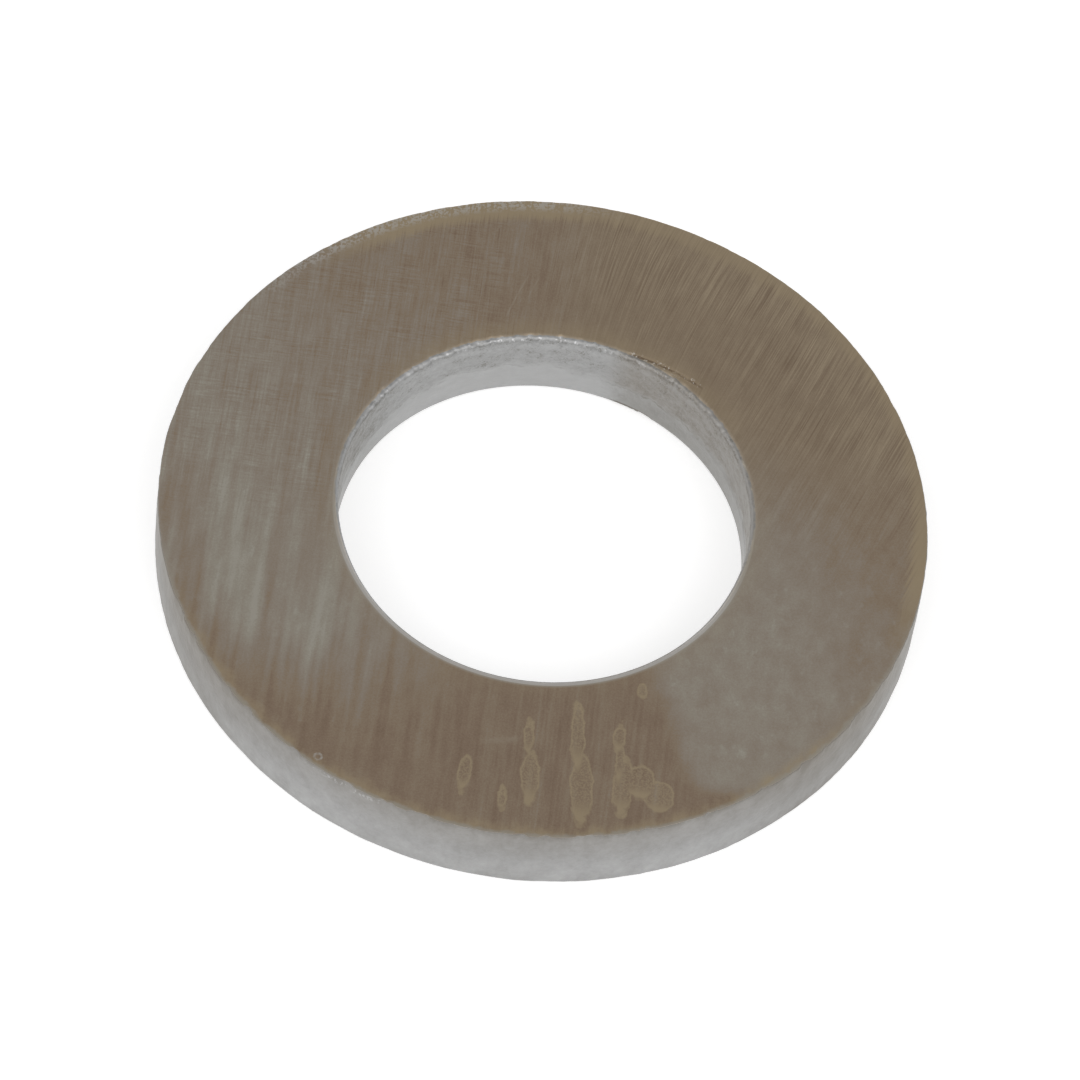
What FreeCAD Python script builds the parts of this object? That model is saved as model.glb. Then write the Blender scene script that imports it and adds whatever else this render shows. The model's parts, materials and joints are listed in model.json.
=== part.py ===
"""A flat washer for an M10 screw, stamped from steel strip in one stroke and ground on one face.

Millimetres. The washer lies flat: its underside is on z = 0, the ground face looks up, and Z is its axis.
It is a single piece of steel, so the model is one solid in one node: a half section, turned full circle.

A compound die cuts the rim and the bore together, from below, and draws the strip's lower skin into each
cut as a small round, the die roll. Grinding the upper face takes off the burr and breaks its two edges.
"""

import FreeCAD, Part
import math
import os

# Driving dimensions, all inside the limits of a normal-series M10 washer
OUTER_DIAMETER = 19.9
BORE_DIAMETER = 10.6
THICKNESS = 2.12

# The rounds where each wall meets a face
DIE_ROLL = 0.08  # on the underside, the same at the rim and the bore
RIM_ROUND = 0.06  # on the ground face, round the outside
BORE_ROUND = 0.15  # on the ground face, round the bore, where the burr was heavier

# Directions along a radius, for the side of a wall that its metal is on
OUTWARDS = 1
INWARDS = -1


def at(radius, height):
    """A point of the half section, at this distance from the axis and height above the underside."""
    return FreeCAD.Vector(radius, 0, height)


def straight(start, end):
    return Part.LineSegment(start, end).toShape()


def quarter_round(start, end, centre):
    """The quarter circle from start to end about centre."""
    radius = start.distanceToPoint(centre)
    across = (start - centre) + (end - centre)
    middle = centre + across.normalize() * radius
    return Part.Arc(start, middle, end).toShape()


def cut_wall(radius, metal, upper_round):
    """One cut wall's edges going up, and the two points where it meets the underside and the ground face."""
    lower_centre = at(radius + metal * DIE_ROLL, DIE_ROLL)
    upper_centre = at(radius + metal * upper_round, THICKNESS - upper_round)
    underside_end = at(lower_centre.x, 0)
    wall_foot = at(radius, lower_centre.z)
    wall_head = at(radius, upper_centre.z)
    ground_end = at(upper_centre.x, THICKNESS)
    edges = [
        quarter_round(underside_end, wall_foot, lower_centre),
        straight(wall_foot, wall_head),
        quarter_round(wall_head, ground_end, upper_centre),
    ]
    return edges, underside_end, ground_end


def washer():
    """The half section, turned a full circle about the washer's axis."""
    bore_wall, bore_underside, bore_ground = cut_wall(BORE_DIAMETER / 2, OUTWARDS, BORE_ROUND)
    rim_wall, rim_underside, rim_ground = cut_wall(OUTER_DIAMETER / 2, INWARDS, RIM_ROUND)
    underside = straight(bore_underside, rim_underside)
    ground_face = straight(rim_ground, bore_ground)
    outline = Part.Wire([underside, *rim_wall, ground_face, *reversed(bore_wall)])
    section = Part.Face(outline)
    return section.revolve(FreeCAD.Vector(0, 0, 0), FreeCAD.Vector(0, 0, 1), 360)


def main():
    os.makedirs("parts", exist_ok=True)
    ring = washer()
    ring.exportStep("parts/washer_ring.step")
    square_edged = math.pi / 4 * (OUTER_DIAMETER**2 - BORE_DIAMETER**2) * THICKNESS
    print(f"valid {ring.isValid()}, closed {ring.isClosed()}, solids {len(ring.Solids)}")
    print(f"volume {ring.Volume:.2f} mm3, against {square_edged:.2f} mm3 with square edges")


main()
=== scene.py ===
"""The looks of a flat washer: a stamped steel ring whose upper face was ground by hand.

The CAD ring gives the size and the place, and one detailed ring replaces it. The torn band in the bore, the
lumpy rim, the worn and chipped edges and the scar are geometry. The grinding marks, pale marks and tints are
in the materials, and so are painted highlights, painted glints and painted shade. Blender's units are metres.
The washer's own measures are in millimetres, as in its design, and are turned into metres where the mesh is
made.
Angles round the washer start at +X and grow towards +Y.
The photograph looks from -Y, so that the front of the washer is at -Y and its left at -X.
"""

import json
import math
from types import SimpleNamespace

import bpy
import numpy as np
from mathutils import Matrix, Vector, noise


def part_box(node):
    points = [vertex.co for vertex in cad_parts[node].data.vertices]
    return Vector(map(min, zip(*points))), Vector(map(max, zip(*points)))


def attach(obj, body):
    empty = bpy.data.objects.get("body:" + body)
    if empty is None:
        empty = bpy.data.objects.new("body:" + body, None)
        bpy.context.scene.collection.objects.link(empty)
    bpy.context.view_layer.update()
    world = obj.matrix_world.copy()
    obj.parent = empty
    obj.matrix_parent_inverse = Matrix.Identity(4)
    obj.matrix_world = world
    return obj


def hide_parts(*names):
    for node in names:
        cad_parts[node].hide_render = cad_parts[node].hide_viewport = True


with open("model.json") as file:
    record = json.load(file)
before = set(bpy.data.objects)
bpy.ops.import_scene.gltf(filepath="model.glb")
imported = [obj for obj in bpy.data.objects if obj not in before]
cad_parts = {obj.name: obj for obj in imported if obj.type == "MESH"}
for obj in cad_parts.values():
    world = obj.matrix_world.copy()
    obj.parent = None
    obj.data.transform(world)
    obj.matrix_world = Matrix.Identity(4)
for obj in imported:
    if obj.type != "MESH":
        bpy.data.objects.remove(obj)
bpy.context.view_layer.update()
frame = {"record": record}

MM = 0.001

# Sizes from the frame, in mm
node_low, node_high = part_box("washer_ring")
mounts = {mount["name"]: mount for mount in frame["record"]["mounts"]}
THICKNESS = (node_high.z - node_low.z) / MM
OUTER_RADIUS = mounts["rim"]["dims"]["r_mm"]
BORE_RADIUS = mounts["bore"]["dims"]["r_mm"]

# The rounds where each wall meets a face, as in the design, in mm
DIE_ROLL = 0.08
RIM_ROUND = 0.06
BORE_ROUND = 0.15

# The view: angles in degrees, lengths in outer diameters, and the lens in mm
VIEW_ELEVATION = 55.66
VIEW_TURN = 8.04
VIEW_DISTANCE = 7.055
VIEW_AIM_FORWARD = 0.0525
VIEW_LENS = 182.97

# The white tent: its brightness, and the height and reach in degrees of its dim side
TENT_BRIGHTNESS = 1.05
DIM_BRIGHTNESS = 0.40
DIM_ELEVATION = 58
DIM_REACH = 54
DIM_FULL_REACH = 28

# The mesh: columns round the washer, and rows up each wall
COLUMNS = 1080
BORE_ROWS = 34
RIM_ROWS = 18
BORE_ROUND_ROWS = 5
RIM_ROUND_ROWS = 3
DIE_ROLL_ROWS = 2

# Stations across the faces, as radii in mm. On the ground face they keep a fixed step as far as the scar
# reaches, and then follow OPEN_RADII
SCAR_STEP = 0.045
SCAR_REACH = 0.42
OPEN_RADII = (6.1, 6.7, 7.5, 8.3, 8.9, 9.2, 9.4, 9.55, 9.7, 9.82)
UNDER_RADII = (9.6, 8.4, 7.0, 5.8)

# The scar on the ground face: it leaves the bore's edge at one angle and ends further out at another, and
# lies this far from the bore's wall at its start, in mm, and this much further at its end
SCAR_START = 74.0
SCAR_END = 49.5
SCAR_GAP = 0.13
SCAR_DRIFT = 0.31
SCAR_HALF_WIDTH = 0.06
SCAR_DEPTH = 0.022

# Zones of the surface, each with its own material
GROUND, BORE, RIM, UNDERSIDE = range(4)


# ---------------------------------------------------------------- camera, floor and light


def make_camera():
    """The photograph's view: a long lens from the front, high up, and turned a little."""
    elevation = math.radians(VIEW_ELEVATION)
    outer_diameter = 2 * OUTER_RADIUS * MM
    aim = Vector((0, -VIEW_AIM_FORWARD * outer_diameter, THICKNESS * MM))
    looking = Vector((0, math.cos(elevation), -math.sin(elevation)))
    distance = VIEW_DISTANCE * outer_diameter
    place = Matrix.Translation(aim - looking * distance)
    level = looking.to_track_quat("-Z", "Y").to_matrix().to_4x4()
    turn = Matrix.Rotation(math.radians(VIEW_TURN), 4, "Z")

    lens = bpy.data.cameras.new("camera")
    lens.sensor_width = 36
    lens.lens = VIEW_LENS
    lens.clip_start = 0.001
    camera = bpy.data.objects.new("camera", lens)
    bpy.context.scene.collection.objects.link(camera)
    camera.matrix_world = place @ level @ turn
    bpy.context.scene.camera = camera


def make_floor():
    """A plain white sheet just under the washer, in metres. It glows a little, so that shadows stay soft."""
    half = 1.5
    height = -0.00002
    mesh = bpy.data.meshes.new("floor")
    corners = [(-half, -half, height), (half, -half, height), (half, half, height), (-half, half, height)]
    mesh.from_pydata(corners, [], [(0, 1, 2, 3)])
    floor = bpy.data.objects.new("floor", mesh)
    bpy.context.scene.collection.objects.link(floor)
    paper = bpy.data.materials.new("floor_paper")
    paper.use_nodes = True
    shader = paper.node_tree.nodes["Principled BSDF"]
    shader.inputs["Base Color"].default_value = (0.8, 0.8, 0.8, 1)
    shader.inputs["Roughness"].default_value = 0.9
    shader.inputs["Specular IOR Level"].default_value = 0.1
    shader.inputs["Emission Color"].default_value = (1, 1, 1, 1)
    shader.inputs["Emission Strength"].default_value = 0.48
    mesh.materials.append(paper)


def softbox(name, azimuth, elevation, distance, width, power, colour):
    """A square area light that faces the washer, from this azimuth round it, in metres and degrees."""
    data = bpy.data.lights.new(name, "AREA")
    data.shape = "SQUARE"
    data.size = width
    data.energy = power
    data.color = colour
    light = bpy.data.objects.new(name, data)
    bpy.context.scene.collection.objects.link(light)
    around = math.radians(azimuth)
    up = math.radians(elevation)
    flat = distance * math.cos(up)
    place = Vector((flat * math.cos(around), flat * math.sin(around), distance * math.sin(up)))
    light.location = place
    light.rotation_euler = (-place).to_track_quat("-Z", "Y").to_euler()


def make_light():
    """A white tent with one dim side, the side that the ground face mirrors, and two weak soft boxes."""
    up = math.radians(DIM_ELEVATION)
    world = bpy.data.worlds.new("tent")
    world.use_nodes = True
    tree = world.node_tree
    direction = tree.nodes.new("ShaderNodeTexCoord").outputs["Generated"]
    nearness = tree.nodes.new("ShaderNodeVectorMath")
    nearness.operation = "DOT_PRODUCT"
    nearness.inputs[1].default_value = (0, math.cos(up), math.sin(up))
    tree.links.new(direction, nearness.inputs[0])
    fade = tree.nodes.new("ShaderNodeMapRange")
    fade.interpolation_type = "SMOOTHSTEP"
    tree.links.new(nearness.outputs["Value"], fade.inputs["Value"])
    fade.inputs["From Min"].default_value = math.cos(math.radians(DIM_REACH))
    fade.inputs["From Max"].default_value = math.cos(math.radians(DIM_FULL_REACH))
    fade.inputs["To Min"].default_value = TENT_BRIGHTNESS
    fade.inputs["To Max"].default_value = DIM_BRIGHTNESS
    tree.links.new(fade.outputs["Result"], tree.nodes["Background"].inputs["Strength"])
    tree.nodes["Background"].inputs["Color"].default_value = (1, 1, 1, 1)
    bpy.context.scene.world = world
    warm_white = (1, 0.99, 0.98)
    softbox("key_light", azimuth=-50, elevation=50, distance=0.6, width=0.3, power=0.35, colour=warm_white)
    softbox("fill_light", azimuth=-125, elevation=40, distance=0.6, width=0.4, power=0.3, colour=(1, 1, 1))
    bpy.context.scene.view_settings.view_transform = "Standard"


# ---------------------------------------------------------------- the ring's shape


def smooth(value, low, high):
    """0 below low, 1 above high, and a smooth rise between."""
    share = np.clip((value - low) / (high - low), 0, 1)
    return share * share * (3 - 2 * share)


def fall(value, low, high):
    """1 below low, 0 above high, and a smooth fall between."""
    return smooth(-value, -high, -low)


def fractal(points, feature, octaves=3):
    """Fractal noise of about -1 to 1 at each point, with features of this size in mm."""
    scaled = points / feature
    return np.array([noise.fractal(point, 1.0, 2.0, octaves) for point in scaled])


def arc_stations(centre_radius, centre_height, radius, start, end, rows):
    """Points of the section on a quarter round, its start left out, as (radius, height)."""
    angles = np.radians(np.linspace(start, end, rows + 1)[1:])
    return np.column_stack([centre_radius + radius * np.cos(angles), centre_height + radius * np.sin(angles)])


def line_stations(start, end, rows):
    """Evenly spaced points of the section on a straight line, its start left out."""
    shares = np.linspace(0, 1, rows + 1)[1:, None]
    return np.array(start) + shares * (np.array(end) - np.array(start))


def section():
    """The closed half section as (radius, height) points, and the zone of the strip that ends at each."""
    top = THICKNESS
    bore_edge = BORE_RADIUS + BORE_ROUND
    rim_edge = OUTER_RADIUS - RIM_ROUND
    under_bore = BORE_RADIUS + DIE_ROLL
    under_rim = OUTER_RADIUS - DIE_ROLL
    scar_radii = np.arange(bore_edge + SCAR_STEP, bore_edge + SCAR_REACH, SCAR_STEP)
    # The last strip of the face is narrow, so that the rim's round doesn't tilt the normals further in
    face_radii = np.concatenate([scar_radii, OPEN_RADII, (rim_edge - 0.004, rim_edge)])
    under_radii = np.array([*UNDER_RADII, under_bore])
    runs = [
        (BORE, line_stations((BORE_RADIUS, DIE_ROLL), (BORE_RADIUS, top - BORE_ROUND), BORE_ROWS)),
        (BORE, arc_stations(bore_edge, top - BORE_ROUND, BORE_ROUND, 180, 90, BORE_ROUND_ROWS)),
        (GROUND, np.column_stack([face_radii, np.full(len(face_radii), top)])),
        (RIM, arc_stations(rim_edge, top - RIM_ROUND, RIM_ROUND, 90, 0, RIM_ROUND_ROWS)),
        (RIM, line_stations((OUTER_RADIUS, top - RIM_ROUND), (OUTER_RADIUS, DIE_ROLL), RIM_ROWS)),
        (RIM, arc_stations(under_rim, DIE_ROLL, DIE_ROLL, 0, -90, DIE_ROLL_ROWS)),
        (UNDERSIDE, np.column_stack([under_radii, np.zeros(len(under_radii))])),
        (BORE, arc_stations(under_bore, DIE_ROLL, DIE_ROLL, -90, -180, DIE_ROLL_ROWS)),
    ]
    points = np.vstack([stations for _, stations in runs])
    zones = np.concatenate([np.full(len(stations), zone) for zone, stations in runs])
    return points, zones


def section_normals(points):
    """The outward direction of the section at each of its points."""
    along = np.roll(points, -1, axis=0) - np.roll(points, 1, axis=0)
    outward = np.column_stack([-along[:, 1], along[:, 0]])
    return outward / np.linalg.norm(outward, axis=1)[:, None]


def bore_depth(spots, angle):
    """How deep the bore's wall is cut below its nominal surface, in mm: a torn band over a smooth land."""
    x, y, height = spots.T
    plan = spots * (1, 1, 0)
    # At the back right the tearing reaches further down, and leaves upright lines
    torn_down = smooth(angle, 44, 52) * fall(angle, 72, 80)
    land_top = 0.36 * THICKNESS + 0.12 * fractal(plan, 1.6) + 0.06 * fractal(plan, 0.35) - 0.55 * torn_down
    torn = smooth(height, land_top - 0.06, land_top + 0.06)
    lumps = 0.012 * fractal(spots * (1, 1, 1.6), 0.30) + 0.008 * fractal(spots * (1, 1, 1.3) + 40, 0.12)
    depth = torn * (0.020 + lumps)
    lines = np.abs(fractal(spots * (1, 1, 0.16) + 70, 0.17, 2))
    depth += torn * torn_down * 0.02 * fall(lines, 0, 0.16)
    # Chips just under the upper edge, most of them at the back and few on the right
    edge = smooth(height, THICKNESS - BORE_ROUND - 0.1, THICKNESS - 0.05)
    edge = edge * fall(height, THICKNESS - 0.02, THICKNESS)
    chipped = (0.25 + 0.75 * smooth(y, 0.0, 3.0)) * (1 - 0.8 * smooth(x, 2.5, 4.0))
    depth += edge * chipped * 0.025 * smooth(fractal(spots * (1, 1, 0.5) + 15, 0.16), 0.1, 0.7)
    # A notch in the lower edge, under the torn lines
    notch = smooth(angle, 62.5, 63.5) * fall(angle, 69.5, 71) * fall(height, 0.04, 0.12)
    depth += 0.025 * notch * smooth(fractal(spots + 33, 0.25), -0.4, 0.2)
    # Towards the front the upper edge is whole, and a little fuller than the design's round
    below_top = THICKNESS - height
    full = fall(y, -2.5, 1.0) * fall(below_top, 0.12, 0.30)
    return np.maximum(depth, 0) * (1 - full) - 0.022 * full * smooth(below_top, 0.0, 0.02)


def rim_depth(spots):
    """How deep the rim's wall lies below its nominal surface, in mm: it leans in and is softly lumpy.

    It stays a little less deep than the rim's round.
    """
    lean = 0.025 * smooth(spots[:, 2], 0.3 * THICKNESS, THICKNESS)
    lumps = 0.012 * fractal(spots + 90, 0.9) + 0.006 * fractal(spots + 20, 0.3)
    return np.clip(0.012 + lean + lumps, 0, RIM_ROUND - 0.008)


def face_depth(spots, angle):
    """How deep the ground face lies below its plane, in mm: a dubbed far edge and a scar beside the bore."""
    radius = np.hypot(spots[:, 0], spots[:, 1])
    far = smooth(np.sin(np.radians(angle)), -0.1, 0.7)
    dub = (0.003 + 0.012 * far) * smooth(radius, OUTER_RADIUS - 0.7, OUTER_RADIUS) ** 2
    share = (SCAR_START - angle) / (SCAR_START - SCAR_END)
    line = BORE_RADIUS + SCAR_GAP + SCAR_DRIFT * np.clip(share, 0, 1)
    across = np.abs(radius - line + 0.02 * fractal(spots, 0.12, 2)) / SCAR_HALF_WIDTH
    along = smooth(share, 0, 0.12) * fall(share, 0.85, 1)
    return dub + SCAR_DEPTH * np.clip(1 - across**2, 0, 1) * along


def under_depth(spots):
    """The underside's faint waviness, in mm."""
    return 0.003 + 0.003 * fractal(spots, 2.5)


def edge_shift(around, stations):
    """How far outwards the wear of the upper edges moves each station, in mm, at each angle round the ring.

    The rim's edge is worn back most at the front, and the bore's at the back.
    """
    turn = np.radians(around)
    circle = np.column_stack([np.cos(turn), np.sin(turn), np.zeros(len(turn))])
    front = 0.2 + 0.8 * fall(circle[:, 1], -0.6, -0.2)
    back = smooth(circle[:, 1], 0.2, 0.7)
    rim_chips = 0.065 * front * smooth(fractal(circle * OUTER_RADIUS + 55, 0.45, 4), -0.1, 0.7)
    bore_chips = 0.035 * back * smooth(fractal(circle * BORE_RADIUS + 25, 0.18), -0.1, 0.6)

    radius, height = stations.T
    by_rim = smooth(radius, OUTER_RADIUS - 0.25, OUTER_RADIUS - RIM_ROUND)
    by_rim = by_rim * smooth(height, THICKNESS - 0.35, THICKNESS - RIM_ROUND)
    by_bore = fall(radius, BORE_RADIUS + BORE_ROUND, BORE_RADIUS + 0.35)
    by_bore = by_bore * smooth(height, THICKNESS - 0.4, THICKNESS - BORE_ROUND)
    return np.outer(bore_chips, by_bore) - np.outer(rim_chips, by_rim)


def ring_points():
    """Every vertex of the ring in mm, as columns round the axis by stations of the section, and the zones."""
    stations, zones = section()
    outward = section_normals(stations)
    around = np.linspace(0, 360, COLUMNS, endpoint=False)
    angle = np.repeat(around[:, None], len(stations), axis=1)
    turn = np.radians(angle)
    radius, height = stations.T
    level = np.broadcast_to(height, turn.shape)
    spots = np.stack([radius * np.cos(turn), radius * np.sin(turn), level], axis=-1)

    depth = np.zeros(angle.shape)
    measures = {
        BORE: bore_depth,
        RIM: lambda at, _: rim_depth(at),
        GROUND: face_depth,
        UNDERSIDE: lambda at, _: under_depth(at),
    }
    for zone, measure in measures.items():
        members = np.nonzero(zones == zone)[0]
        zone_spots = spots[:, members].reshape(-1, 3)
        zone_angles = angle[:, members].reshape(-1)
        depth[:, members] = measure(zone_spots, zone_angles).reshape(COLUMNS, len(members))

    moved_radius = radius - outward[:, 0] * depth + edge_shift(around, stations)
    moved_height = height - outward[:, 1] * depth
    points = np.stack([moved_radius * np.cos(turn), moved_radius * np.sin(turn), moved_height], axis=-1)
    return points, zones


def make_ring():
    """The detailed ring: a closed grid of quads, wrapped round the section and round the axis."""
    points, zones = ring_points()
    rows = len(zones)
    grid = np.arange(COLUMNS * rows).reshape(COLUMNS, rows)
    next_column = np.roll(grid, -1, axis=0)
    before = np.roll(grid, 1, axis=1)
    before_next = np.roll(next_column, 1, axis=1)
    quads = np.stack([before, grid, next_column, before_next], axis=-1).reshape(-1, 4)

    mesh = bpy.data.meshes.new("washer")
    mesh.from_pydata((points.reshape(-1, 3) * MM).tolist(), [], quads.tolist())
    # In the order of the zones
    for look in (ground_look, bore_look, rim_look, underside_look):
        mesh.materials.append(look())
    mesh.polygons.foreach_set("material_index", np.tile(zones, COLUMNS).astype(np.int32))
    mesh.shade_smooth()
    mesh.update()
    ring = bpy.data.objects.new("washer", mesh)
    bpy.context.scene.collection.objects.link(ring)
    return ring


# ---------------------------------------------------------------- materials


# How much lighter the ground steel's own colour is than it looks where it mirrors the tent's dim side
FACE_GAIN = 2.17


def seen(red, green, blue):
    """The ground steel's own colour, from how it looks on a screen, with each part from 0 to 255."""
    shares = np.array([red, green, blue]) / 255
    linear = np.where(shares <= 0.04045, shares / 12.92, ((shares + 0.055) / 1.055) ** 2.4)
    return (*(linear * FACE_GAIN), 1)


class Look:
    """A metal in the making, with a short name for each kind of node that the looks share.

    Lengths are in mm. Noise and strokes run from about -1 to 1, and a share from 0 to 1.
    """

    def __init__(self, name):
        self.material = bpy.data.materials.new(name)
        self.material.use_nodes = True
        self.tree = self.material.node_tree
        self.shader = self.tree.nodes["Principled BSDF"]
        self.shader.inputs["Metallic"].default_value = 1
        coordinates = self.tree.nodes.new("ShaderNodeTexCoord")
        self.place = self.scaled(coordinates.outputs["Object"], (1 / MM, 1 / MM, 1 / MM))
        self.x, self.y, self.z = self.add("ShaderNodeSeparateXYZ", {"Vector": self.place}).outputs
        self.radius = self.length(self.scaled(self.place, (1, 1, 0)))

    def add(self, kind, inputs, **settings):
        """A new node, with each input set to a value or linked from a socket."""
        made = self.tree.nodes.new(kind)
        for name, value in settings.items():
            setattr(made, name, value)
        for name, value in inputs.items():
            if isinstance(value, bpy.types.NodeSocket):
                self.tree.links.new(value, made.inputs[name])
            else:
                made.inputs[name].default_value = value
        return made

    def scaled(self, vector, scale):
        return self.add("ShaderNodeVectorMath", {0: vector, 1: scale}, operation="MULTIPLY").outputs[0]

    def length(self, vector):
        return self.add("ShaderNodeVectorMath", {0: vector}, operation="LENGTH").outputs["Value"]

    def maths(self, operation, first, second):
        return self.add("ShaderNodeMath", {0: first, 1: second}, operation=operation).outputs[0]

    def product(self, *values):
        result = values[0]
        for value in values[1:]:
            result = self.maths("MULTIPLY", result, value)
        return result

    def total(self, *values):
        result = values[0]
        for value in values[1:]:
            result = self.maths("ADD", result, value)
        return result

    def away(self, value):
        """How far value is from 0, on either side."""
        return self.add("ShaderNodeMath", {0: value}, operation="ABSOLUTE").outputs[0]

    def rest(self, share):
        """What is left of 1 beside this share."""
        return self.maths("SUBTRACT", 1.0, share)

    def rise(self, value, start, end, low=0.0, high=1.0):
        """A smooth change from low to high as value goes from start to end."""
        inputs = {"Value": value, "From Min": start, "From Max": end, "To Min": low, "To Max": high}
        return self.add("ShaderNodeMapRange", inputs, interpolation_type="SMOOTHSTEP").outputs[0]

    def between(self, value, low, full_low, full_high, high):
        """1 from full_low to full_high, with a smooth fall to 0 at low and at high."""
        return self.product(self.rise(value, low, full_low), self.rise(value, high, full_high))

    def angle(self):
        """The angle round the washer, in degrees from -180 to 180."""
        return self.product(self.maths("ARCTAN2", self.y, self.x), 180 / math.pi)

    def noise(self, feature, shift=0.0, vector=None, detail=3.0):
        """Noise with features of this size. shift picks another pattern."""
        moved = self.add(
            "ShaderNodeVectorMath", {0: vector or self.place, 1: (shift, shift, shift)}, operation="ADD"
        )
        inputs = {"Vector": moved.outputs[0], "Scale": 1 / feature, "Detail": detail, "Roughness": 0.6}
        grey = self.add("ShaderNodeTexNoise", inputs).outputs["Fac"]
        return self.add("ShaderNodeMath", {0: grey, 1: 2.0, 2: -1.0}, operation="MULTIPLY_ADD").outputs[0]

    def strokes(self, across, along, width, length, shift):
        """Noise drawn out into strokes of this width and length, for the two coordinates given."""
        scaled_across = self.maths("DIVIDE", across, width)
        scaled_along = self.maths("DIVIDE", along, length)
        drawn = self.add("ShaderNodeCombineXYZ", {0: scaled_across, 1: scaled_along, 2: shift}).outputs[0]
        return self.noise(1.0, vector=drawn, detail=2.0)

    def mix(self, share, first, second):
        """The first colour, with this share of it replaced by the second."""
        made = self.add("ShaderNodeMix", {"Factor": share}, data_type="RGBA")
        for name, value in (("A", first), ("B", second)):
            socket = next(s for s in made.inputs if s.name == name and s.type == "RGBA")
            if isinstance(value, bpy.types.NodeSocket):
                self.tree.links.new(value, socket)
            else:
                socket.default_value = value
        return next(s for s in made.outputs if s.type == "RGBA")

    def ramp(self, value, stops):
        """A colour for value, from (position, colour) stops."""
        made = self.add("ShaderNodeValToRGB", {"Fac": value})
        elements = made.color_ramp.elements
        while len(elements) < len(stops):
            elements.new(0.5)
        for element, (position, colour) in zip(elements, stops):
            element.position = position
            element.color = colour
        return made.outputs["Color"]

    def bump(self, height, distance):
        """Raises the surface by height times distance, on top of the bumps made before."""
        made = self.add("ShaderNodeBump", {"Height": height, "Distance": distance * MM, "Strength": 1.0})
        normal = self.shader.inputs["Normal"]
        if normal.is_linked:
            self.tree.links.new(normal.links[0].from_socket, made.inputs["Normal"])
        self.tree.links.new(made.outputs[0], normal)

    def finish(self, colour, roughness):
        self.tree.links.new(colour, self.shader.inputs["Base Color"])
        self.tree.links.new(roughness, self.shader.inputs["Roughness"])
        return self.material


# The ground face from dark to light, brown to grey-green, and its far right part in tans. The browns' ramp
# stands for tones from BROWNS_START on, over a span of BROWNS_SPAN
BROWNS = (
    (0.0, seen(105, 90, 76)),
    (0.2, seen(114, 99, 85)),
    (0.367, seen(120, 107, 92)),
    (0.533, seen(122, 112, 101)),
    (0.7, seen(126, 118, 108)),
    (0.867, seen(131, 126, 116)),
    (1.0, seen(137, 133, 124)),
)
BROWNS_START = -0.3
BROWNS_SPAN = 1.5
TANS = (
    (0.0, seen(98, 84, 69)),
    (0.5, seen(120, 107, 91)),
    (1.0, seen(142, 129, 108)),
)

# Pale tan marks shaped like drops on the ground face: middle x and y, half width, half length, and lean to
# the right per mm up
PALE_MARKS = (
    (3.09, -5.18, 0.11, 0.20, 0.0),
    (1.62, -6.75, 0.15, 0.95, -0.10),
    (1.88, -8.30, 0.27, 1.00, -0.10),
    (0.42, -7.00, 0.12, 0.50, -0.05),
    (0.58, -8.15, 0.22, 0.80, -0.05),
    (-1.05, -8.30, 0.14, 0.48, 0.0),
    (-0.04, -8.90, 0.11, 0.28, 0.0),
    (2.66, -6.60, 0.13, 0.42, 0.0),
    (2.74, -7.30, 0.09, 0.60, -0.03),
    (2.90, -8.08, 0.25, 0.80, 0.0),
    (3.32, -7.84, 0.33, 0.50, 0.0),
    (3.82, -8.22, 0.37, 0.45, -0.1),
)

# Thin scratches across the strokes, above the bore: x where y is SCRATCH_FOOT, lowest and highest y, strength
SCRATCHES = ((-1.68, 5.75, 7.45, 0.55), (-1.38, 6.45, 7.40, 0.30))
SCRATCH_FOOT = 5.9
SCRATCH_FADE = 0.3

# The round nick by the front edge: where its middle is, and the radius of its bright ring
NICK = (-4.70, -8.42, THICKNESS)
NICK_RADIUS = 0.09


def pale_mark_share(look):
    """Where the pale tan marks lie, strongest along their outlines and towards their lower ends."""
    nearest = 10.0
    filled = 0.0
    for middle_x, middle_y, half_width, half_length, lean in PALE_MARKS:
        up = look.maths("SUBTRACT", look.y, middle_y)
        aside = look.maths("SUBTRACT", look.maths("SUBTRACT", look.x, middle_x), look.product(up, lean))
        shares = {0: look.maths("DIVIDE", aside, half_width), 1: look.maths("DIVIDE", up, half_length)}
        far = look.length(look.add("ShaderNodeCombineXYZ", shares).outputs[0])
        outside = look.product(look.maths("SUBTRACT", far, 1.0), half_width)
        nearest = look.maths("MINIMUM", nearest, outside)
        low_end = look.rise(up, -0.1 * half_length, -0.8 * half_length)
        filled = look.maths("MAXIMUM", filled, look.product(low_end, look.rise(outside, 0.05, -0.02)))
    nearest = look.total(nearest, look.product(look.noise(0.34, shift=11.0), 0.11))
    flecked = look.rise(look.noise(0.055, shift=13.0, detail=1.0), -0.2, 0.3, 0.10, 0.65)
    strength = look.maths("MAXIMUM", flecked, look.product(filled, 0.9))
    body = look.product(look.rise(nearest, 0.02, -0.03), strength)
    outline = look.product(look.between(nearest, -0.04, -0.01, 0.01, 0.035), 0.65)
    return look.total(body, look.product(outline, look.rise(filled, 0.0, 1.0, 1.0, 0.2)))


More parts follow.
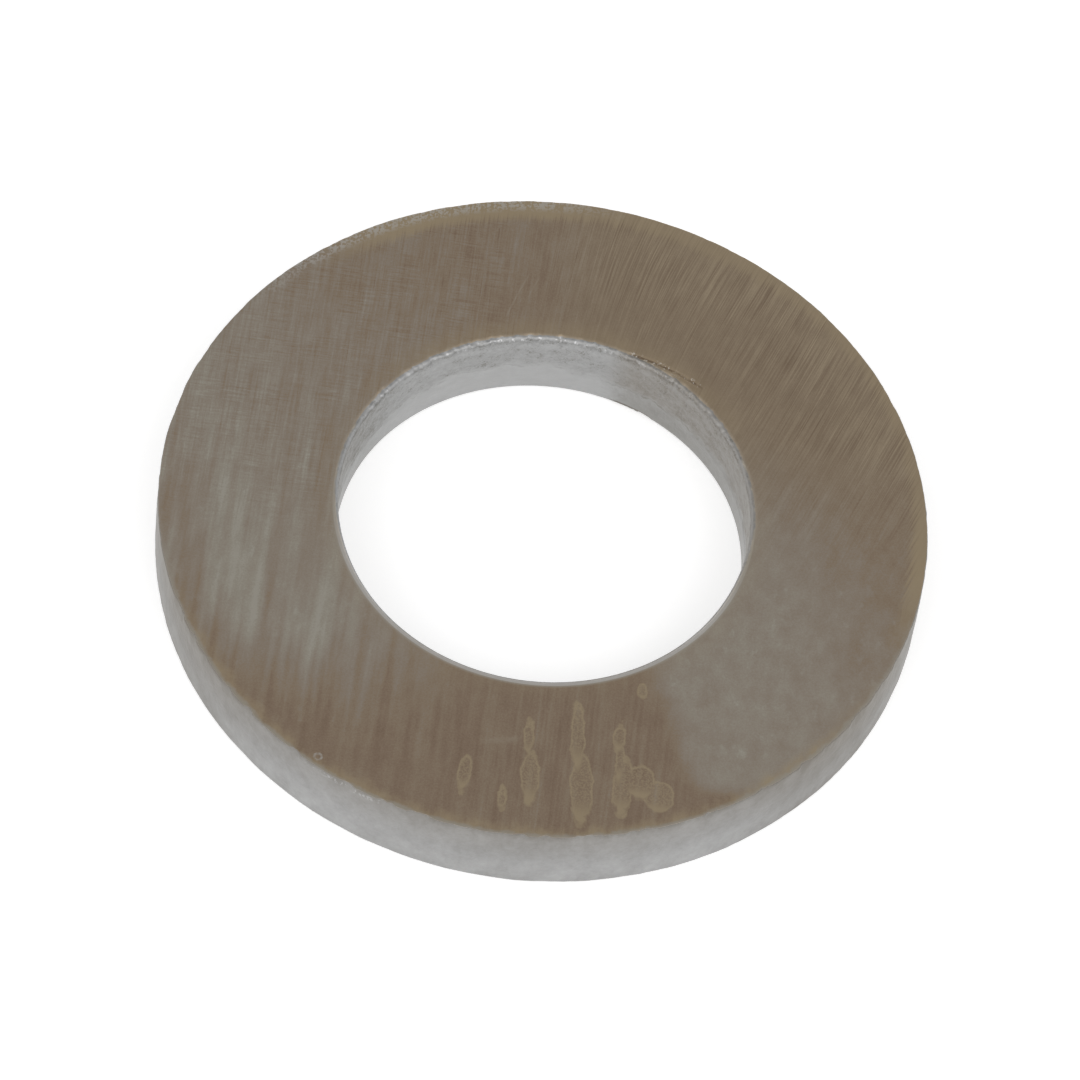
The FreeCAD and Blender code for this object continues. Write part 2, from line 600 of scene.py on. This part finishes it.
def face_parts(look):
    """Parts of the ground face as shares, and the slow noise that some limits follow. North is at +Y."""
    x, y = look.x, look.y
    drift = look.product(look.noise(1.8, shift=7.0, detail=2.0), 0.5)
    # Beyond a soft line near the front right, the grinding left hardly a stroke
    slope = look.product(look.maths("MINIMUM", look.total(y, 4.7), 0.0), 0.36)
    past_line = look.total(x, slope, look.product(drift, 0.5), look.rise(look.radius, 8.8, 9.9, 0.0, -1.3))
    beyond = look.rise(past_line, 3.05, 3.95)
    unmarked = look.product(beyond, look.rise(y, 2.0, -2.5, 0.0, 0.9))
    return SimpleNamespace(
        drift=drift,
        beyond=beyond,
        unmarked=unmarked,
        marked=look.rest(unmarked),
        north_east=look.product(look.rise(x, -1.5, 1.5), look.rise(y, -0.5, 4.0)),
        south_west=look.product(look.rise(x, -1.0, -5.0), look.rise(y, 4.0, -2.0)),
    )


def face_noises(look):
    """The noises that the face is drawn with. Strokes run up it on the left, and lean over on the right."""
    x, y = look.x, look.y
    lean = look.rise(x, -2.0, 4.5, 0.0, 0.36)
    bend = look.maths("MAXIMUM", look.total(y, -7.0), -8.5)
    across = look.maths("SUBTRACT", x, look.product(lean, bend))
    spots = look.noise(0.30, shift=19.0, vector=look.scaled(look.place, (1, 0.6, 1)))
    return SimpleNamespace(
        hair=look.strokes(across, y, 0.030, 2.2, shift=1.0),
        fine=look.strokes(across, y, 0.075, 1.8, shift=4.0),
        medium=look.strokes(across, y, 0.17, 1.8, shift=5.0),
        broad=look.strokes(across, y, 0.50, 6.5, shift=2.0),
        cross=look.strokes(y, x, 0.05, 0.8, shift=3.0),
        cuts=look.rise(look.strokes(across, y, 0.040, 1.5, shift=21.0), -0.27, -0.46),
        mottle=look.noise(0.42, shift=6.0, vector=look.scaled(look.place, (1, 0.7, 1))),
        spots=look.rise(spots, 0.12, 0.55),
        grain=look.noise(0.045, shift=23.0, detail=1.0),
    )


def face_marks(look, parts, noises):
    """The finest marks: hairlines, fine strokes, strokes across them, grain and dark cuts."""
    x, y = look.x, look.y
    upper = look.rise(y, -4.0, 1.0)
    crossed = look.product(look.rise(x, -0.5, -3.0), look.rise(y, -3.0, 1.0))
    broken = look.rise(look.noise(0.9, shift=17.0), -0.35, 0.35, 0.2, 1.0)
    far_hair = look.product(parts.north_east, look.rise(look.radius, 5.5, 9.0, 0.05, 0.55))
    fine_share = look.total(0.32, look.product(parts.north_east, -0.14), look.product(crossed, 0.14))
    return look.total(
        look.product(noises.hair, upper, parts.marked, look.total(0.30, far_hair)),
        look.product(noises.fine, upper, parts.marked, fine_share),
        look.product(noises.cross, crossed, broken, 0.75),
        look.product(noises.grain, look.rise(parts.north_east, 0.0, 1.0, 0.30, 0.14)),
        look.product(noises.cuts, look.rise(y, -1.0, 3.0), look.rise(x, 1.5, -0.5), -0.38),
    )


def face_shades(look, parts, noises):
    """The softer shades: medium and broad strokes, mottling and spots."""
    x, y, radius = look.x, look.y, look.radius
    lower = look.rise(y, -4.5, -6.5)
    medium_share = look.total(
        0.26,
        look.product(parts.north_east, -0.18),
        look.product(lower, look.rise(x, -3.0, 0.0, -0.06, 0.12)),
    )
    broad_share = look.total(
        0.24,
        look.product(parts.north_east, -0.14),
        look.product(lower, 0.16),
        look.product(parts.south_west, look.rise(y, -7.5, -4.5), look.rise(radius, 6.0, 8.5, 0.55, 0.85)),
    )
    mottle_share = look.total(0.20, look.product(parts.unmarked, 0.24))
    spots_share = look.total(0.08, look.product(parts.unmarked, 0.26), look.product(parts.south_west, 0.14))
    return look.total(
        look.product(noises.medium, parts.marked, medium_share),
        look.product(noises.broad, parts.marked, broad_share),
        look.product(noises.mottle, mottle_share),
        look.product(noises.spots, spots_share),
    )


def face_patches(look, parts, noises):
    """Patches of tone: grey-green on the left and at the front right, and darkest brown at the front."""
    x, y, radius = look.x, look.y, look.radius
    south_of = look.total(y, parts.drift, look.product(noises.broad, 1.5), look.product(noises.medium, 0.5))
    toward = look.total(look.product(x, -0.8), look.product(y, -0.6), parts.drift)
    left = look.product(
        look.rise(toward, -4.5, 7.5),
        look.rise(x, -1.0, -4.4),
        look.rise(south_of, -8.2, -4.4),
        look.rest(look.product(look.rise(radius, 8.2, 9.8), look.rise(y, 3.0, -2.0), 0.55)),
        look.rise(look.total(radius, look.product(y, -0.5)), 5.8, 7.8, 0.78, 1.0),
    )
    outward = look.total(y, look.product(look.total(radius, -6.2), 1.4), look.product(parts.drift, 2.0))
    right = look.product(parts.beyond, look.rise(outward, 4.8, -2.8))
    front = look.product(look.rise(y, -3.8, -6.2), look.rest(parts.beyond))
    return look.total(0.25, look.product(left, 0.55), look.product(right, 0.53), look.product(front, -0.17))


def with_tan_highlights_and_marks(look, colour, parts, noises):
    """Painted tan highlights towards the face's outer and inner edges, and pale tan marks with outlines."""
    x, y, radius = look.x, look.y, look.radius
    ragged = look.total(radius, look.product(noises.hair, 0.30), look.product(noises.fine, 0.22))
    spread = look.total(ragged, look.product(parts.north_east, -0.12), look.rise(x, 3.0, 8.0, 0.0, -0.22))
    far_edge = look.product(
        look.rise(spread, OUTER_RADIUS - 0.82, OUTER_RADIUS - 0.50),
        look.rise(look.total(y, look.product(x, 0.6)), 2.0, 5.5, 0.0, 0.9),
        look.rise(parts.north_east, 0.0, 1.0, 1.0, 0.65),
    )
    soft = look.total(radius, look.product(noises.mottle, 0.3))
    near_edge = look.product(
        look.rise(soft, OUTER_RADIUS - 0.48, OUTER_RADIUS - 0.05),
        look.rise(y, -3.0, -6.5, 0.0, 0.8),
    )
    bore_edge = look.product(
        look.rise(ragged, BORE_RADIUS + 0.90, BORE_RADIUS + 0.15),
        look.rise(y, 2.5, 4.5, 0.15, 0.55),
    )
    lively = look.rise(look.total(noises.fine, noises.mottle), -0.9, 0.6, 0.4, 1.0)
    # The tan towards the edges is a painted highlight
    edges = look.maths("MAXIMUM", far_edge, look.product(look.maths("MAXIMUM", near_edge, bore_edge), lively))
    return look.mix(look.maths("MAXIMUM", edges, pale_mark_share(look)), colour, seen(133, 120, 99))


def with_edge_sheen_and_wear(look, colour, noises):
    """Painted grey highlight flecks along the far edge, lighter grey on the worn near edge, partly a painted
    reflection, and the bore's paler lip.
    """
    x, y, radius = look.x, look.y, look.radius
    # Painted highlight: grey flecks along the far edge
    speckle = look.total(look.noise(0.07, shift=8.0, detail=1.0), look.product(noises.fine, 0.6))
    flecks = look.product(
        look.rise(speckle, -0.12, 0.15),
        look.rise(radius, OUTER_RADIUS - 0.48, OUTER_RADIUS - 0.22),
        look.product(look.rise(x, 1.5, -1.5), look.rise(y, 4.5, 7.5)),
    )
    colour = look.mix(look.product(flecks, 0.6), colour, seen(153, 151, 147))
    # The worn near edge is painted lighter grey: partly wear, partly a painted reflection of the bright tent
    scallops = look.total(radius, look.product(look.noise(0.30, shift=37.0), 0.12))
    worn = look.rise(scallops, OUTER_RADIUS - 0.20, OUTER_RADIUS - 0.08)
    worn = look.product(worn, look.rise(y, -1.0, -5.0))
    colour = look.mix(look.product(worn, 0.85), colour, seen(132, 127, 118))
    front = look.rise(y, -0.5, -3.0)
    lip = look.rise(look.total(radius, look.product(front, 0.02)), BORE_RADIUS + 0.25, BORE_RADIUS + 0.15)
    lip_colour = look.mix(front, seen(125, 117, 106), seen(136, 131, 122))
    return look.mix(look.product(lip, look.rise(front, 0.0, 1.0, 0.6, 0.9)), colour, lip_colour)


def with_small_marks(look, colour, noises):
    """A round nick by the front edge, a faint smear between the pale tan marks, and thin scratches at the
    back.
    """
    x, y = look.x, look.y
    nick = look.add("ShaderNodeVectorMath", {0: look.place, 1: NICK}, operation="DISTANCE").outputs["Value"]
    off_ring = look.total(nick, look.product(look.noise(0.14, shift=31.0), 0.035), -NICK_RADIUS)
    ring = look.product(
        look.rise(look.away(off_ring), 0.045, 0.012),
        look.rise(look.noise(0.11, shift=33.0), -0.30, 0.20, 0.10, 0.85),
    )
    colour = look.mix(ring, colour, seen(143, 139, 133))

    smear = look.product(
        look.rise(look.away(look.total(x, 0.25)), 0.60, 0.25),
        look.rise(look.away(look.total(y, 7.12, look.product(x, -0.25))), 0.16, 0.02, 0.0, 0.38),
        look.rise(look.noise(0.30, shift=29.0), -0.40, 0.20, 0.2, 1.0),
    )
    colour = look.mix(smear, colour, seen(130, 121, 108))

    for foot_x, lowest, highest, strength in SCRATCHES:
        lean = look.rise(y, 5.5, 7.5, 0.22, 0.29)
        path = look.total(foot_x, look.product(look.total(y, -SCRATCH_FOOT), lean))
        scratch = look.product(
            look.rise(look.away(look.maths("SUBTRACT", x, path)), 0.035, 0.010),
            look.between(y, lowest, lowest + SCRATCH_FADE, highest - SCRATCH_FADE, highest),
            look.rise(noises.fine, -0.4, 0.3, 0.5, 1.0),
        )
        colour = look.mix(look.product(scratch, strength), colour, seen(131, 122, 110))
    return colour


def with_scar(look, colour, noises):
    """Darker in the scar beside the bore, and painted glints on a few burred spots along it."""
    along = look.maths("DIVIDE", look.maths("SUBTRACT", SCAR_START, look.angle()), SCAR_START - SCAR_END)
    drift = look.product(look.maths("MAXIMUM", along, 0.0), SCAR_DRIFT)
    line = look.total(BORE_RADIUS + SCAR_GAP, drift)
    aside = look.away(look.total(look.radius, look.product(line, -1.0), look.product(noises.mottle, 0.04)))
    within = look.between(along, 0.0, 0.12, 0.85, 1.0)
    scar_dark = look.product(
        within,
        look.rise(aside, 0.05, 0.015),
        look.rise(look.noise(0.22, shift=27.0), -0.35, 0.15, 0.15, 0.85),
    )
    colour = look.mix(scar_dark, colour, seen(88, 74, 60))
    # Painted glints on burred spots along the scar
    burr_glints = look.product(
        within,
        look.rise(aside, 0.13, 0.05),
        look.rise(look.noise(0.08, shift=14.0), 0.10, 0.28),
        0.8,
    )
    return look.mix(burr_glints, colour, seen(172, 168, 160))


def ground_look():
    """The hand-ground face: brown and grey-green patches, drawn out by the strokes of the grinding."""
    look = Look("ground_steel")
    parts = face_parts(look)
    noises = face_noises(look)
    marks = face_marks(look, parts, noises)
    shades = face_shades(look, parts, noises)

    tone = look.total(face_patches(look, parts, noises), marks, shades, -BROWNS_START)
    browns = look.ramp(look.product(tone, 1 / BROWNS_SPAN), BROWNS)
    light = look.total(0.5, marks, look.product(shades, 0.6), look.rise(look.radius, 7.5, 9.9, -0.03, 0.08))
    colour = look.mix(look.product(parts.north_east, 0.85), browns, look.ramp(light, TANS))
    colour = with_tan_highlights_and_marks(look, colour, parts, noises)
    colour = with_edge_sheen_and_wear(look, colour, noises)
    colour = with_small_marks(look, colour, noises)
    colour = with_scar(look, colour, noises)

    look.bump(marks, 0.0015)
    look.bump(shades, 0.003)
    roughness = look.total(0.42, look.product(noises.mottle, 0.03), look.product(marks, 0.05))
    return look.finish(colour, roughness)


def bore_look():
    """The bore's cut wall: a dull torn band with dark pits and bright specks, over a smoother land."""
    look = Look("torn_steel")
    x, y, z = look.x, look.y, look.z
    top = THICKNESS
    drawn = look.scaled(look.place, (1, 1, 1.5))
    blotches = look.noise(0.42, shift=4.0, vector=drawn)
    lumps = look.noise(0.13, vector=drawn, detail=4.0)
    grit = look.noise(0.05, shift=9.0, vector=drawn, detail=1.0)

    # The torn band starts above a wandering border, which is raised left of the middle
    wander = look.product(look.noise(0.9, shift=2.0, detail=4.0), 0.45)
    raised = look.product(look.between(x, -4.2, -3.0, -0.4, 0.6), 0.22)
    above = look.maths("SUBTRACT", z, look.total(0.38 * THICKNESS, wander, raised))
    torn = look.rise(above, -0.12, 0.22)
    seam = look.product(look.between(above, -0.10, -0.03, -0.01, 0.03), look.rise(blotches, -0.2, 0.3))
    pits = look.rise(look.total(grit, look.product(blotches, -0.6)), 0.22, 0.5)
    sparks = look.rise(look.total(grit, look.product(blotches, 0.6)), -0.30, -0.55)

    # Near the top, a darker lip, and at the back also a paler band and a row of painted glints
    far = look.rise(y, 3.2, 4.9)
    lip = look.rise(z, top - 0.20, top - 0.05)
    band = look.between(z, top - 0.46, top - 0.32, top - 0.25, top - 0.17)
    row = look.between(z, top - 0.17, top - 0.11, top - 0.05, top - 0.02)
    edge_glints = look.product(row, far, look.rise(look.noise(0.10, shift=12.0, detail=1.0), 0.10, 0.30))

    # The very top, painted lighter where it turns up to the light, the right side in painted shade, and
    # darker patches at the foot
    turned_places = look.maths("MAXIMUM", look.rise(look.away(x), 3.0, 4.8), look.rise(y, 2.0, 4.0, 0.0, 0.4))
    turned = look.product(look.rise(z, top - 0.12, top - 0.06), turned_places)
    shaded_side = look.rise(look.total(x, look.product(lumps, 0.4)), 0.9, 1.9)
    foot = look.product(look.rise(z, 0.11, 0.05), look.rise(y, 0.0, 3.0))
    low_dark_patch = look.product(look.rise(z, 0.14, 0.10), look.between(x, 1.2, 1.6, 2.3, 2.5))

    value = look.total(
        look.rise(torn, 0.0, 1.0, 0.66, 0.56),
        look.product(torn, look.total(look.product(lumps, 0.30), look.product(blotches, 0.22))),
        look.product(look.rest(torn), look.product(blotches, 0.10)),
        look.product(seam, -0.20),
        look.product(torn, pits, -0.20),
        look.product(torn, sparks, 0.16),
        look.product(lip, look.rise(x, 2.0, 4.5, -0.12, -0.04)),
        look.product(turned, look.rise(x, -1.0, 1.0, 0.42, 0.26)),
        look.product(band, far, 0.10),
        look.rise(x, -3.8, -5.2, 0.0, -0.22),
        look.product(foot, -0.14),
        look.product(edge_glints, 0.32),
        look.product(shaded_side, look.rise(z, 0.2 * THICKNESS, 0.6 * THICKNESS, -0.25, -0.17)),
        look.product(low_dark_patch, -0.50),
    )
    greys = (
        (0.0, (0.125, 0.110, 0.090, 1)),
        (0.3, (0.240, 0.234, 0.220, 1)),
        (0.5, (0.328, 0.328, 0.323, 1)),
        (0.75, (0.405, 0.405, 0.405, 1)),
        (1.0, (0.63, 0.63, 0.63, 1)),
    )
    # A browner tint where the right side is in painted shade
    shade_tint = look.product(shaded_side, look.rise(torn, 0.0, 1.0, 0.3, 1.0), 0.35)
    colour = look.mix(shade_tint, look.ramp(value, greys), (0.30, 0.265, 0.225, 1))

    # Where the wall rounds over into the ground face it mirrors the dim side too
    side = look.rise(look.away(x), 3.5, 5.0, 0.0, 0.010)
    back = look.rise(y, 2.5, 4.5, 0.0, -0.009)
    rounding = look.rise(look.total(z, side, back), top - 0.019, top - 0.004)
    edge = look.mix(look.rise(y, -3.0, -0.5), seen(146, 143, 139), seen(130, 124, 114))
    colour = look.mix(rounding, colour, edge)

    look.bump(lumps, 0.006)
    roughness = look.total(look.rise(torn, 0.0, 1.0, 0.34, 0.48), look.product(lumps, 0.08))
    return look.finish(colour, roughness)


def rim_look():
    """The rim's cut wall: soft grey mottling, in painted shade darker and a little browner towards the ground
    face.
    """
    look = Look("rim_steel")
    x, y, z = look.x, look.y, look.z
    top = THICKNESS
    lumps = look.noise(0.55, shift=3.0, vector=look.scaled(look.place, (1, 1, 0.8)))
    fine = look.noise(0.15, shift=7.0)
    grit = look.noise(0.05, shift=5.0, detail=1.0)
    height = look.total(z, look.product(lumps, 0.35))
    high = look.rise(height, 0.35 * THICKNESS, 1.05 * THICKNESS)
    low = look.rise(height, 0.6 * THICKNESS, 0.2 * THICKNESS)
    shaded_sides = look.rise(look.away(x), 5.0, 9.0)

    # Bright chips under the edge at the front left
    row = look.between(z, top - 0.24, top - 0.14, top - 0.07, top - 0.03)
    place = look.product(look.between(x, -5.2, -4.5, -3.5, -2.6), look.rise(y, -7.0, -8.0))
    chips = look.product(row, place, look.rise(look.noise(0.09, shift=12.0, detail=1.0), 0.05, 0.25))

    # Painted shade: darker towards the top and just under it, at the sides and on the right. Painted light:
    # lighter on the lower wall, and a little darker again at the very foot
    value = look.total(
        0.5,
        look.product(lumps, 0.33),
        look.product(fine, 0.20),
        look.product(grit, 0.06),
        look.product(high, -0.14),
        look.rise(z, top - 0.24, top - 0.02, 0.0, -0.12),
        look.product(low, 0.13),
        look.product(chips, 0.45),
        look.product(shaded_sides, -0.30),
        look.rise(z, top - 0.04, top - 0.01, 0.0, -0.15),
        look.rise(x, 5.0, 8.5, 0.0, -0.10),
        look.rise(z, 0.35, 0.0, 0.0, -0.06),
    )
    greys = (
        (0.0, (0.180, 0.171, 0.157, 1)),
        (0.5, (0.315, 0.313, 0.309, 1)),
        (1.0, (0.45, 0.45, 0.45, 1)),
    )
    # A browner tint with the painted shade at the top and the sides
    shade_tint = look.total(look.product(high, 0.22), look.product(shaded_sides, 0.16))
    colour = look.mix(shade_tint, look.ramp(value, greys), (0.27, 0.24, 0.20, 1))
    look.bump(fine, 0.006)
    return look.finish(colour, look.total(0.44, look.product(fine, 0.08)))


def underside_look():
    """The strip's own rolled skin: dull grey with long faint rolling lines."""
    look = Look("skin_steel")
    across = look.maths("SUBTRACT", look.y, look.product(look.x, 0.35))
    rolled = look.strokes(across, look.x, 0.12, 9.0, shift=4.0)
    blotches = look.noise(1.4, shift=5.0)
    value = look.total(0.5, look.product(rolled, 0.25), look.product(blotches, 0.3))
    greys = ((0.0, (0.25, 0.24, 0.225, 1)), (1.0, (0.45, 0.445, 0.43, 1)))
    look.bump(rolled, 0.002)
    return look.finish(look.ramp(value, greys), look.total(0.45, look.product(blotches, 0.08)))


# ---------------------------------------------------------------- the scene

make_camera()
make_floor()
make_light()
washer = make_ring()
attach(washer, "root")
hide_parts("washer_ring")
